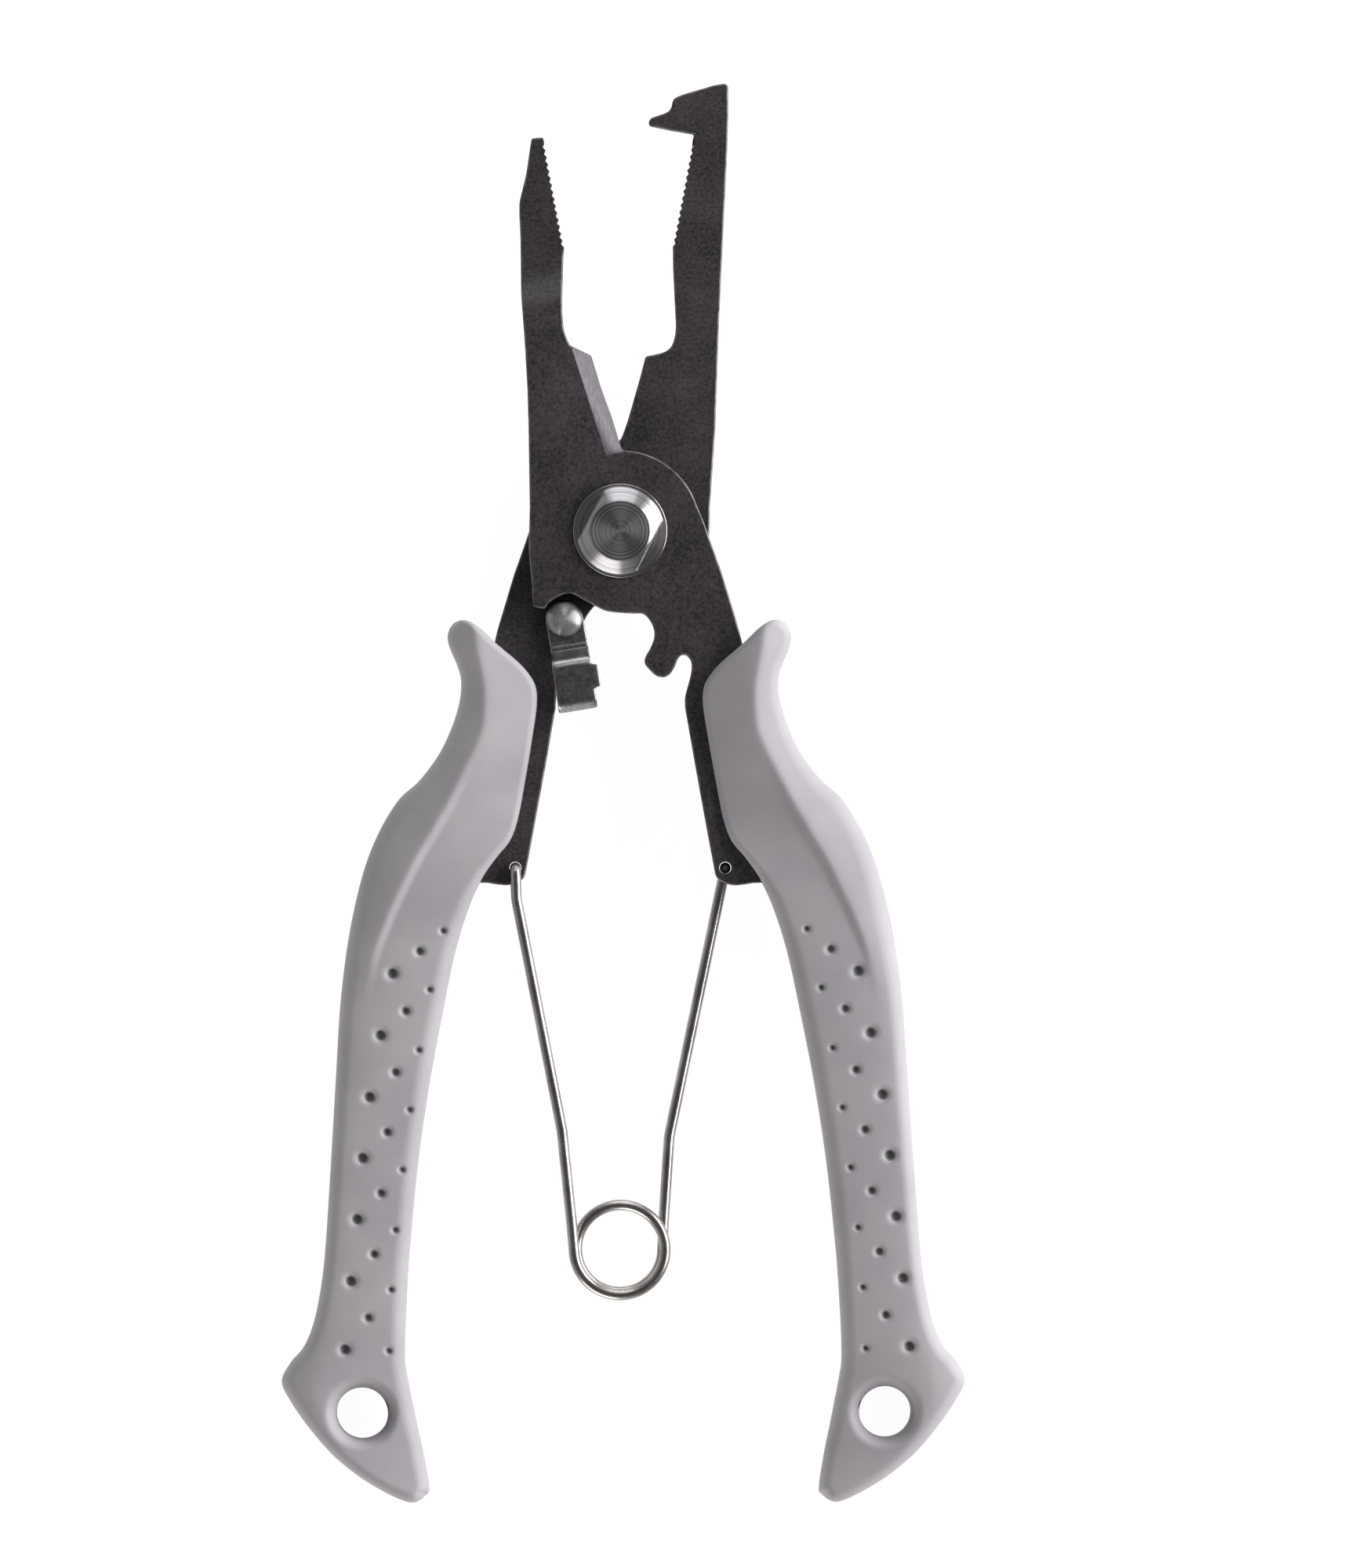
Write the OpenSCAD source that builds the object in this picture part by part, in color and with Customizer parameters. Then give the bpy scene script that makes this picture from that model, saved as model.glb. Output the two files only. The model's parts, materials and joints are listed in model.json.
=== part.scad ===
// Fishing pliers with a split-ring hook tip, side cutter, moulded handles,
// wire return spring and a swinging closing latch.
// The pliers lie flat: the pivot axis is Z and the jaws point along +Y.
// Both arms are drawn as they sit with the jaws shut, in a frame with the
// pivot at its origin, and are then swung open about the pivot.

/* [Opening] */
// Angle that each arm is swung open from shut
half_open = 10.75; // [4:0.25:10.75]

/* [Plates] */
// Thickness of each steel arm
plate_t = 3; // [2.6:0.1:3.2]
// Gap between the two arms at the pivot
plate_gap = 0.05; // [0.02:0.01:0.1]
// Distance from the pivot to where each jaw is joggled towards the middle plane
joggle_y = 29.9; // [28:0.1:31]
// Pitch of the gripping teeth along the jaw
tooth_pitch = 0.9; // [0.7:0.05:1.2]
// Depth of the gripping teeth
tooth_depth = 0.28; // [0.1:0.02:0.4]

/* [Pivot] */
// Radius of the pivot bolt's shank
shank_r = 3.5; // [3:0.1:4]
// Radial clearance between the shank and the arms
pivot_fit = 0.05; // [0.02:0.01:0.1]
// Radius of the bolt head's flange
head_r = 6; // [5:0.1:6.5]
// Half the distance across the two flats of the head
head_flat = 4.15; // [4:0.05:4.9]
// Height of the bolt head
head_h = 1.9; // [1.2:0.1:2.2]

/* [Latch] */
// Thickness of the latch's sheet steel
sheet_t = 1.2; // [1:0.05:1.3]
// Half the width of the latch's strip
latch_half_w = 2.4; // [2:0.05:2.45]
// Distance from the latch rivet to the hooked flange
latch_reach = 10.6; // [10.55:0.05:10.8]
// Radius of the latch rivet's head
rivet_head_r = 2.4; // [1.9:0.05:2.5]

/* [Grips] */
// Overall thickness of the moulded grips
grip_t = 12.5; // [12:0.1:14]
// Radius of the lanyard holes
lanyard_r = 3.3; // [2.5:0.1:3.5]

/* [Spring] */
// Diameter of the spring wire
wire_d = 1.4; // [1.2:0.05:1.45]
// Inner radius of the spring's coil
coil_inner_r = 4.7; // [4.2:0.1:4.8]

/* [Hidden] */

// Place of the pivot above the centre of the rectangle that the pliers fill
pivot = [-0.4, 33.42, grip_t / 2];
full_h = 20;             // taller than any plate or grip, for cuts
z_face = plate_gap / 2;  // distance from the middle plane to each arm's inner face
z_back = z_face + plate_t;
half_jaw = plate_t / 2;  // the jaws are centred on the middle plane
jaw_rise = 3.6;          // length of the joggle
chamfer_1 = 0.4;         // first and second step in from the grip's outline
chamfer_2 = 0.9;
left_set = 0.6;          // the left grip is set this angle closer to the middle
left_set_at = [-10, -35];
rim_depth = 1.4;         // depth of the soft rim round a lanyard hole
rim_r = lanyard_r + 1.5;
rivet_r = 1.2;
rivet_fit = 0.05;
washer_t = 0.5;
nut_h = 1.9;
thread_r = 2.6;
wire_r = wire_d / 2;
wire_fit = 0.08;
bevel_w = 2.1;           // width of the ground cutting bevel
edge_t = 0.5;            // thickness left at the cutting edge

// Places in the shut frame
latch_pin = [-4.9, -12.4];    // on the rear arm
latch_parked = -70;           // direction of the parked latch
spring_eye = [5.14, -44.75];  // on the front arm, mirrored on the rear arm
lanyard = [12.2, -116.7];
jaw_line = -0.25;             // the jaws meet on this line
jaw_gap = 0.1;
teeth_from = 36.9;
teeth_to = 50.9;
hub_r = 10.3;
rear_hub_r = 11.2;
sharp = 38;                   // an outline is smooth where it turns by less than this

// Places in the open frame: the coil, and each leg from its eye to the coil
coil_at = [0, -91.7];
coil_wire = 1.7;         // radial room that the coil's turns take up
left_leg = [[-13.4, -43], [-13.3, -47], [-7.4, -76.5], [-6.6, -87.9]];
right_leg = [[13.4, -43], [6.15, -77.5], [5.65, -87]];

// Steps of teeth along a jaw, as pairs of points root, crest
function teeth(x, side) =
    let (n = floor((teeth_to - teeth_from) / tooth_pitch))
    [for (i = [0 : 2 * n]) [x + (i % 2 == 0 ? 0 : side * tooth_depth),
                            teeth_from + i * tooth_pitch / 2]];

function mirrored(list) = [for (p = list) [-p[0], p[1]]];

// One point of a smooth curve through b and c, with a and d on either side. It leaves b
// in the direction from a to c, and comes to c in the direction from b to d.
function curve_point(a, b, c, d, t) =
    let (size = norm(c - b), u = size * (c - a) / norm(c - a), v = size * (d - b) / norm(d - b),
         t2 = pow(t, 2), t3 = pow(t, 3))
    (2 * t3 - 3 * t2 + 1) * b + (t3 - 2 * t2 + t) * u + (3 * t2 - 2 * t3) * c + (t3 - t2) * v;

// Angle that a path through a, b and c turns by at b
function turn(a, b, c) =
    let (u = b - a, v = c - b)
    acos(min(1, u * v / norm(u) / norm(v)));

// Closed outline through the points: smooth where it turns gently, and sharp at a
// point where it turns by more than corner. A nearly straight piece stays whole.
function smooth_loop(pts, steps, corner) =
    let (n = len(pts))
    [for (i = [0 : n - 1])
        let (a = pts[(i + n - 1) % n], b = pts[i], c = pts[(i + 1) % n],
             d = pts[(i + 2) % n], at_b = turn(a, b, c), at_c = turn(b, c, d),
             from = at_b > corner ? 2 * b - c : a,
             to = at_c > corner ? 2 * c - b : d,
             straight = (at_b < 5 || at_b > corner) && (at_c < 5 || at_c > corner),
             pieces = straight ? 1 : steps)
        for (k = [0 : pieces - 1]) curve_point(from, b, c, to, k / pieces)];

// Points along an arc about the pivot, from one angle to another
function arc(r, from, to, pieces) =
    [for (i = [0 : pieces]) let (t = from + (to - from) * i / pieces)
        [r * cos(t), r * sin(t)]];

// Outline moved inwards by d, for a loop that runs anticlockwise
function inset(pts, d) =
    let (n = len(pts))
    [for (i = [0 : n - 1])
        let (u = pts[i] - pts[(i + n - 1) % n],
             v = pts[(i + 1) % n] - pts[i],
             nu = [-u[1], u[0]] / norm(u),
             nv = [-v[1], v[0]] / norm(v))
        pts[i] + d * (nu + nv) / (1 + nu * nv)];

// Tang of the front arm, from the latch notch round to the hub's right side.
// Its lower part is a narrow core that runs down inside the grip.
tang = [[5.75, -18.0], [5.65, -19.0], [5.2, -20.2], [4.6, -21.4], [4.1, -22.6],
        [3.9, -24], [3.72, -45.1], [3.9, -45.9], [4.6, -46.6], [6, -47.2], [9.4, -47.5],
        [11.8, -49], [13.2, -54], [13.5, -65], [13.2, -80], [12, -95], [11.6, -103],
        [13, -104.5], [15, -103], [16, -95], [17.4, -80], [18, -65], [18, -55],
        [17.3, -46], [15.2, -38], [13.4, -32], [12.8, -25], [12.6, -16.6],
        [12.4, -13.8], [12.06, -10.6], [11.6, -6.7]];

front_outline = smooth_loop(concat(
    [[jaw_line - jaw_gap / 2, 51.2], [-1.8, 51.32], [-2.25, 50], [-3.3, 47], [-4.2, 45],
     [-4.9, 43.3], [-5.57, 39], [-6.17, 35.6], [-6.8, 32], [-7.6, 25], [-8.26, 20],
     [-9.06, 15], [-9.95, 10], [-10.8, 5], [-11.8, 0.3], [-12.4, -5], [-12.75, -7.5],
     [-11.3, -8.0], [-10.6, -7.3], [-9.4, -6.8], [-8.3, -6.6], [-7.45, -6.8], [-6, -8],
     [-4.7, -9], [-3.5, -9.8], [-0.3, -10.7], [0.7, -10.9], [1.35, -11.5], [1.75, -12.5],
     [1.85, -13.4], [1.66, -14.3], [1.0, -15.4], [0.3, -16.2], [-0.1, -16.9], [0, -17.5],
     [1, -19], [2, -19.45], [2.8, -19.15], [3.55, -18.4], [4.3, -17.3], [4.8, -17.0],
     [5.35, -17.2]],
    tang,
    [[11.1, -3.8], [10.75, -1.2]], arc(hub_r, 8, 76, 12),
    [[2.1, 10.2], [1.66, 14.4], [1.0, 18.4], [0.54, 22.7], [-1.85, 24.4], [-2.15, 25.5],
     [-2.25, 27], [-1.85, 30], [-0.77, 35]],
    teeth(jaw_line - jaw_gap / 2, -1)), 3, sharp);

rear_outline = smooth_loop(concat(
    [[jaw_line + jaw_gap / 2, 51.45], [-3.3, 51.4], [-6, 51.45], [-6.2, 52], [-6, 52.5],
     [-4.9, 53.1], [-4, 53.7], [-3.7, 54.3], [-3.65, 55.2], [-3.3, 55.7], [-2, 56.5],
     [0, 57.5], [0.93, 58], [2.4, 58.6], [2.95, 58.4], [3.6, 55], [4.4, 50], [5.07, 45],
     [5.8, 40], [6.5, 35], [7.2, 30], [8, 25], [8.75, 20], [9.5, 15], [10.1, 10],
     [10.7, 5], [11.2, 2.2]], arc(rear_hub_r, 2, -36, 5),
    [[7, -7.9], [4, -9], [1, -9.2], [-1.3, -9.8], [-1.95, -10.9], [-2.4, -12.1],
     [-2.9, -13.4], [-3.2, -14.5], [-3.9, -17], [-4.3, -20.5]],
    mirrored([for (i = [5 : len(tang) - 5]) tang[i]]),
    [[-13.1, -16.6], [-12.8, -12.8], [-12.3, -8], [-11.8, -4.8], [-11.4, -2]],
    arc(rear_hub_r, 175, 106, 10),
    [[-2.4, 11.2], [-2.05, 11.8],
     [-1.6, 15], [-1.15, 20], [-1.0, 22.5], [0.67, 23.2], [1.5, 23.7], [2, 24.4],
     [2.2, 25.6], [2.1, 26.9], [1.73, 28.5], [1.2, 30.7], [0.4, 34]],
    teeth(jaw_line + jaw_gap / 2, 1)), 3, sharp);

// Right-hand grip, anticlockwise from the outer corner of its tail
grip_points = [
    [22.95, -113.6], [22.3, -111.9], [21.3, -110.2], [20.4, -107], [20.2, -103],
    [20.6, -97], [21.3, -90], [22.5, -80], [23.6, -71], [24.4, -63], [24.6, -56],
    [24.2, -48.5], [23.2, -43.5], [21.5, -39], [19.4, -36.2], [17.6, -32.8],
    [16.4, -29], [16, -25], [16.4, -21.9], [17.8, -19.6], [18.95, -17.6], [18.6, -15.8],
    [17.1, -14.8], [15.2, -15.4], [12.9, -16.9], [9.6, -18.8], [7.3, -20.6], [6.2, -23],
    [6, -30], [6, -38.5], [6.5, -41.5], [7.8, -43.9], [9.2, -47], [10.2, -51],
    [10.9, -57], [11.1, -65], [11.15, -74], [10.8, -84], [10, -94], [9.1, -102],
    [7.9, -109.5], [5.8, -115], [3.6, -120.4], [2.2, -124.4], [2.6, -126.2],
    [4.3, -126.8], [8.5, -125.8], [13.5, -123.5], [17.5, -120.6], [20.9, -117.4],
    [22.4, -115.9], [23.05, -114.8]];
grip_outline = smooth_loop(grip_points, 2, 90);

// Plate cut to an outline and joggled: side is 1 for the front arm, -1 for the rear
module plate(outline, side) {
    j = joggle_y;
    k = joggle_y + jaw_rise;
    bend = 0.4;
    profile = [[-130, z_face], [j, z_face], [k, -half_jaw], [65, -half_jaw],
               [65, half_jaw], [k + bend, half_jaw], [j + bend, z_back], [-130, z_back]];
    intersection() {
        linear_extrude(full_h, center = true) polygon(outline);
        rotate([90, 0, 90])
            linear_extrude(80, center = true)
            polygon([for (p = profile) [p[0], side * p[1]]]);
    }
}

// Wedge that grinds a cutting edge, along the line from a to b, on face side. The steel
// is left of the line for a width over 0, and right of it for a width under 0.
module ground_bevel(a, b, side, width) {
    run = b - a;
    out = -sign(width);  // a place 1 mm outside the line
    past = 1.4;          // how far the wheel runs past a
    drop = (plate_t - edge_t) / abs(width) * (abs(width) + 1);
    translate([a[0], a[1], 0])
        rotate(atan2(run[1], run[0]))
        rotate([90, 0, 90])
        translate([0, 0, -past])
        linear_extrude(norm(run) + past + 0.2)
        polygon([[out, side * (z_back - drop)], [width, side * z_back],
                 [width, side * (z_back + 2)], [out, side * (z_back + 2)]]);
}

module pivot_bore() {
    cylinder(r = shank_r + pivot_fit, h = full_h, center = true, $fn = 64);
}

module spring_eye_hole(side) {
    translate([side * spring_eye[0], spring_eye[1], 0])
        cylinder(r = wire_r + wire_fit, h = full_h, center = true, $fn = 32);
}

// Puts a piece drawn in the shut frame of one arm where it is with the pliers open
module swung(side) {
    translate(pivot) rotate(side * half_open) children();
}

module front_arm() {
    color([0.22, 0.2, 0.22])
    swung(1)
    difference() {
        plate(front_outline, 1);
        pivot_bore();
        spring_eye_hole(1);
        ground_bevel([0.54, 22.7], [2.1, 10.2], 1, -bevel_w);
    }
}

module rear_arm() {
    color([0.2, 0.18, 0.2])
    swung(-1)
    difference() {
        plate(rear_outline, -1);
        pivot_bore();
        spring_eye_hole(-1);
        translate([latch_pin[0], latch_pin[1], 0])
            cylinder(r = rivet_r, h = full_h, center = true, $fn = 32);
        ground_bevel([-1.0, 22.5], [-2.05, 11.8], -1, bevel_w);
    }
}

// Bolt with a turned conical head that has two flats for a spanner
module pivot_bolt() {
    flange_h = 0.5;
    disc_r = 3.8;
    seat = z_back + 0.05;
    color([0.45, 0.44, 0.46])
    swung(-1) {
        translate([0, 0, -z_back - 0.1])
            cylinder(r = shank_r, h = 2 * z_back + 0.2, $fn = 64);
        translate([0, 0, seat]) cylinder(r = head_r, h = flange_h, $fn = 64);
        intersection() {
            translate([0, 0, seat + flange_h])
                cylinder(r1 = head_r - 0.4, r2 = disc_r, h = head_h - flange_h, $fn = 64);
            rotate(-27.5 + half_open)
                cube([2 * head_flat, 3 * head_r, full_h], center = true);
        }
        translate([0, 0, -z_back - washer_t - nut_h])
            cylinder(r = thread_r, h = washer_t + nut_h + 0.2, $fn = 48);
    }
}

module pivot_washer() {
    color("silver")
    swung(-1)
    translate([0, 0, -z_back - washer_t])
    difference() {
        cylinder(r = head_r, h = washer_t, $fn = 64);
        translate([0, 0, -1]) cylinder(r = shank_r + 0.15, h = 3, $fn = 48);
    }
}

// Round nut with two flats, on the bolt's thread behind the rear arm
module pivot_nut() {
    color([0.45, 0.44, 0.46])
    swung(-1)
    translate([0, 0, -z_back - washer_t - nut_h])
    difference() {
        intersection() {
            cylinder(r1 = head_r - 0.9, r2 = head_r - 0.2, h = nut_h, $fn = 64);
            cube([2 * head_flat, 3 * head_r, full_h], center = true);
        }
        translate([0, 0, -1]) cylinder(r = thread_r, h = nut_h + 2, $fn = 48);
    }
}

// Elastomer grip moulded round a tang, for the right hand or mirrored for the left
module grip() {
    full = grip_t / 2;
    layers = [[0, full - 1.5], [chamfer_1, full - 0.6], [chamfer_2, full]];
    difference() {
        for (layer = layers)
            translate([0, 0, -layer[1]])
                linear_extrude(2 * layer[1]) polygon(inset(grip_outline, layer[0]));
        translate([lanyard[0], lanyard[1], 0]) {
            cylinder(r = lanyard_r, h = full_h, center = true, $fn = 64);
            for (up = [0, 1]) mirror([0, 0, up])
                translate([0, 0, full - rim_depth])
                cylinder(r1 = lanyard_r, r2 = rim_r + 0.3, h = rim_depth * 1.2, $fn = 64);
        }
        children();
    }
}

module right_grip() {
    color([0.72, 0.7, 0.72])
    swung(1) grip() translate([0, 0, z_face]) linear_extrude(plate_t) polygon(front_outline);
}

module left_grip() {
    color([0.7, 0.68, 0.7])
    swung(-1)
    difference() {
        translate(left_set_at) rotate(left_set) translate(-left_set_at)
            mirror([1, 0, 0]) grip();
        translate([0, 0, -z_back]) linear_extrude(plate_t) polygon(rear_outline);
    }
}

// Puts a piece of the latch in place: its own X runs from the rivet to the flange
module on_latch() {
    swung(-1) translate([latch_pin[0], latch_pin[1], 0]) rotate(latch_parked) children();
}

// Strip that steps up over the front arm's prong and ends in a flange bent down
module latch_lever() {
    low = z_face + 0.01;
    high = z_back + 0.12;
    foot = 4.7;
    rise = 1;
    slant = sheet_t * sqrt(pow(high - low, 2) + pow(rise, 2)) / (high - low);
    lean = rise / (high - low);
    tip = latch_reach + sheet_t;
    flange_low = z_face + 0.08;
    side = [[0, low], [foot, low], [foot + rise, high], [latch_reach, high],
            [latch_reach, flange_low], [tip, flange_low], [tip, high + sheet_t * 0.4],
            [tip - sheet_t * 0.6, high + sheet_t],
            [foot + rise - slant + sheet_t * lean, high + sheet_t],
            [foot - slant + sheet_t * lean, low + sheet_t], [0, low + sheet_t]];
    color([0.4, 0.39, 0.4])
    on_latch()
    difference() {
        union() {
            translate([0, 0, low]) cylinder(r = latch_half_w, h = sheet_t, $fn = 48);
            intersection() {
                rotate([90, 0, 0]) linear_extrude(8, center = true) polygon(side);
                translate([0, 0, -5])
                    linear_extrude(full_h)
                    polygon([[0, -latch_half_w], [foot - 1, -latch_half_w],
                             [foot + 0.2, -2.5], [tip, -2.6], [tip, 2.2],
                             [9.3, 2.3], [9.1, 3.35], [6.3, 3.35], [6.0, 2.5],
                             [foot - 1, latch_half_w], [0, latch_half_w]]);
            }
        }
        cylinder(r = rivet_r + rivet_fit, h = full_h, center = true, $fn = 32);
        // keeps the finger tab above the front arm
        translate([5.9, 2.5, -1]) cube([3.5, 2, high + 1]);
    }
}

module latch_washer() {
    color("silver")
    on_latch()
    translate([0, 0, z_face + sheet_t + 0.03])
    difference() {
        cylinder(r = rivet_head_r - 0.15, h = 0.3, $fn = 48);
        translate([0, 0, -1]) cylinder(r = rivet_r, h = 3, $fn = 32);
    }
}

// Rivet with a low domed head in front and a spread tail behind the rear arm
module latch_rivet() {
    head_at = z_face + sheet_t + 0.33;
    dome_r = 3.2;
    head_t = 0.95;
    color([0.6, 0.59, 0.6])
    on_latch() {
        translate([0, 0, -z_back - 0.01])
            cylinder(r = rivet_r, h = head_at + z_back + 0.02, $fn = 32);
        intersection() {
            translate([0, 0, head_at]) cylinder(r = rivet_head_r, h = head_t, $fn = 48);
            translate([0, 0, head_at + head_t - dome_r]) sphere(r = dome_r, $fn = 48);
        }
        translate([0, 0, -z_back - 0.7]) cylinder(r1 = 1.6, r2 = 2, h = 0.7, $fn = 48);
    }
}

// Straight length of wire from a to b
module wire(a, b) {
    run = b - a;
    translate(a)
        rotate([0, acos(run[2] / norm(run)), atan2(run[1], run[0])])
        cylinder(r = wire_r, h = norm(run), $fn = 24);
}

// Leg of the return spring, from the hook through its arm's eye to the coil.
// side is -1 on the left, where the leg lies in front of the rear arm.
module spring_leg(path, side) {
    z = -side * (z_face + wire_r + 0.06);
    bend_r = wire_r + 0.03;
    points = [for (p = path) [p[0], p[1], z]];
    hook_end = [path[0][0], path[0][1], side * (z_back + 0.3)];
    color([0.35, 0.34, 0.35])
    translate(pivot) {
        wire(hook_end, points[0]);
        for (i = [0 : len(points) - 2]) {
            wire(points[i], points[i + 1]);
            translate(points[i]) sphere(r = bend_r, $fn = 24);
        }
    }
}

module spring_left_leg() {
    spring_leg(left_leg, -1);
}

module spring_right_leg() {
    spring_leg(right_leg, 1);
}

// One and a half close turns of wire, as a plain ring that holds them
module spring_coil() {
    color([0.35, 0.34, 0.35])
    translate([pivot[0] + coil_at[0], pivot[1] + coil_at[1], pivot[2]])
    rotate_extrude($fn = 64)
    translate([coil_inner_r, -wire_d])
    square([coil_wire, 2 * wire_d]);
}

front_arm();
rear_arm();
pivot_bolt();
pivot_washer();
pivot_nut();
left_grip();
right_grip();
latch_lever();
latch_washer();
latch_rivet();
spring_left_leg();
spring_coil();
spring_right_leg();
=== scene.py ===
"""Fishing pliers: the visible surfaces and finishes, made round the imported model.

Arms and turned parts are the CAD solids with their edges rounded. The moulded grips, the
latch and the return spring are surfaces worked out on two-parameter grids. Lengths in this
file are millimetres, until a mesh is made from them.
"""
import json
import math

import bmesh
import bpy
import numpy as np
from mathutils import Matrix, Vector


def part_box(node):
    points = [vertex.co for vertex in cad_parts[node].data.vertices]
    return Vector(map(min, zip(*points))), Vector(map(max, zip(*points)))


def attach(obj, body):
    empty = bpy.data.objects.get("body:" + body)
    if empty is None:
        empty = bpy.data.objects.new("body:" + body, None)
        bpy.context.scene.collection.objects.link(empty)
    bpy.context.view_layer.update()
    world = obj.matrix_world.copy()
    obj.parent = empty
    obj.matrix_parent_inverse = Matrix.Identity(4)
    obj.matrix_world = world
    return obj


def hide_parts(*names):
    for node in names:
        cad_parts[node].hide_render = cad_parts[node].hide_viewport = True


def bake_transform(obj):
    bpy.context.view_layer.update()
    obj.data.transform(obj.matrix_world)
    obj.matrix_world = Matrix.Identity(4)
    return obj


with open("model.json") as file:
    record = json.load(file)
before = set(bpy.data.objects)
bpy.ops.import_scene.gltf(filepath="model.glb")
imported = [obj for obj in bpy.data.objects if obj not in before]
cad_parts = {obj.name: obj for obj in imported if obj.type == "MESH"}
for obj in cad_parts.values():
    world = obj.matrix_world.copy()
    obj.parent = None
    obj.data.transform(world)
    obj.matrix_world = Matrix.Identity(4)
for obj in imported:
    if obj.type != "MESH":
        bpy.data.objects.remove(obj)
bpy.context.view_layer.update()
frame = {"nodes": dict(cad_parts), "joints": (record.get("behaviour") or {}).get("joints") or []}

MM = 0.001


def middle(node):
    """Centre of a CAD node's box, in mm."""
    low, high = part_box(node)
    return np.array(low + high) / 2 / MM


# ---------------------------------------------------------------- places
GRIP_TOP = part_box("right_grip")[1].z / MM
PIVOT = np.array([*middle("pivot_washer")[:2], GRIP_TOP / 2])
COIL = middle("spring_coil")
RIVET = middle("latch_washer")
HALF_OPEN = next(j for j in frame["joints"] if j["name"] == "arm_pivot")["range_deg"][1] / 2
FRONT, REAR = 1, -1          # the arm in front ends in the right-hand grip
PLATE_FACE, PLATE_BACK = 0.025, 3.025   # an arm's two faces, from the middle plane


def turned(points, degrees, about=(0, 0)):
    """Points turned anticlockwise about a vertical line."""
    c, s = math.cos(math.radians(degrees)), math.sin(math.radians(degrees))
    flat = (points[..., :2] - about) @ np.array([[c, s], [-s, c]]) + about
    return np.concatenate([flat, points[..., 2:]], axis=-1)


def swung(points, arm):
    """Points from an arm's own frame, pivot at zero and jaws shut, to the open pliers."""
    return turned(points, arm * HALF_OPEN) + PIVOT


# ---------------------------------------------------------------- curves and grids
def through(points, t):
    """Catmull-Rom curve through the rows of points but the first and last, which only aim
    its ends: t runs from 0 at the second row in steps of one row."""
    points = np.asarray(points, float)
    i = np.clip(t.astype(int), 0, len(points) - 4)
    f = (t - i)[:, None]
    a, b, c, d = points[i], points[i + 1], points[i + 2], points[i + 3]
    return 0.5 * (2 * b + (c - a) * f + (2 * a - 5 * b + 4 * c - d) * f**2
                  + (3 * b - a - 3 * c + d) * f**3)


def extended(points):
    """The rows with one more at each end, straight on from the first and the last two."""
    points = np.asarray(points, float)
    return np.vstack([2 * points[0] - points[1], points, 2 * points[-1] - points[-2]])


def step(x):
    """Smooth step from 0 to 1 as x goes from 0 to 1."""
    x = np.clip(x, 0, 1)
    return x * x * (3 - 2 * x)


def grid_faces(rows, cols, ring=False):
    """Quads of a grid with its points in row order; a ring joins the last column to the first."""
    r, c = np.meshgrid(np.arange(rows - 1), np.arange(cols if ring else cols - 1), indexing="ij")
    near, far = r * cols + c, r * cols + (c + 1) % cols
    return np.stack([near, far, far + cols, near + cols], axis=-1).reshape(-1, 4)


def piece(name, points, faces, body, finishes, nodes, values=None, sharp=50):
    """Object from points in mm and quads. Points that meet are merged, so poles and seams
    close, and the faces are turned outwards. values are named numbers at the points."""
    mesh = bpy.data.meshes.new(name)
    mesh.vertices.add(len(points))
    mesh.vertices.foreach_set("co", (points * MM).astype(np.float32).ravel())
    mesh.loops.add(faces.size)
    mesh.loops.foreach_set("vertex_index", faces.astype(np.int32).ravel())
    mesh.polygons.add(len(faces))
    mesh.polygons.foreach_set("loop_start", np.arange(0, faces.size, 4, dtype=np.int32))
    mesh.update(calc_edges=True)
    for key, numbers in (values or {}).items():
        mesh.attributes.new(key, "FLOAT", "POINT").data.foreach_set(
            "value", numbers.astype(np.float32).ravel())
    return shaped(name, mesh, body, finishes, nodes, sharp, 1e-7)


def shaped(name, mesh, body, finishes, nodes, sharp, merge):
    """Merges a closed mesh, faces it outwards, and puts it on its body in place of nodes."""
    work = bmesh.new()
    work.from_mesh(mesh)
    bmesh.ops.remove_doubles(work, verts=work.verts, dist=merge)
    bmesh.ops.recalc_face_normals(work, faces=work.faces)
    work.to_mesh(mesh)
    work.free()
    mesh.shade_smooth()
    mesh.set_sharp_from_angle(angle=math.radians(sharp))
    made = bpy.data.objects.new(name, mesh)
    bpy.context.scene.collection.objects.link(made)
    for finish in finishes:
        mesh.materials.append(finish)
    if body:
        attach(made, body)
    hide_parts(*nodes)
    return made


# ---------------------------------------------------------------- finishes
def linear(code):
    """Linear colour with alpha from an sRGB hex code."""
    part = np.array([int(code[i:i + 2], 16) for i in (1, 3, 5)]) / 255
    return [*np.where(part <= 0.04045, part / 12.92, ((part + 0.055) / 1.055) ** 2.4), 1.0]


def add(tree, kind, links=None, **settings):
    """Adds a node. links gives its inputs: a value, or another node's output."""
    made = tree.nodes.new(kind)
    for key, value in settings.items():
        setattr(made, key, value)
    for key, value in (links or {}).items():
        if isinstance(value, bpy.types.NodeSocket):
            tree.links.new(value, made.inputs[key])
        else:
            made.inputs[key].default_value = value
    return made


def finish(name, **shader):
    """Material with a Principled shader set to these values, and its place coordinates in mm."""
    made = bpy.data.materials.new(name)
    made.use_nodes = True
    tree = made.node_tree
    tree.nodes.clear()
    skin = add(tree, "ShaderNodeBsdfPrincipled")
    for key, value in shader.items():
        skin.inputs[key.replace("_", " ")].default_value = value
    out = add(tree, "ShaderNodeOutputMaterial", {"Surface": skin.outputs[0]})
    place = add(tree, "ShaderNodeTexCoord").outputs["Object"]
    mm = add(tree, "ShaderNodeMapping", {"Vector": place, "Scale": (1 / MM,) * 3}).outputs[0]
    return made, tree, skin, mm


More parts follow.
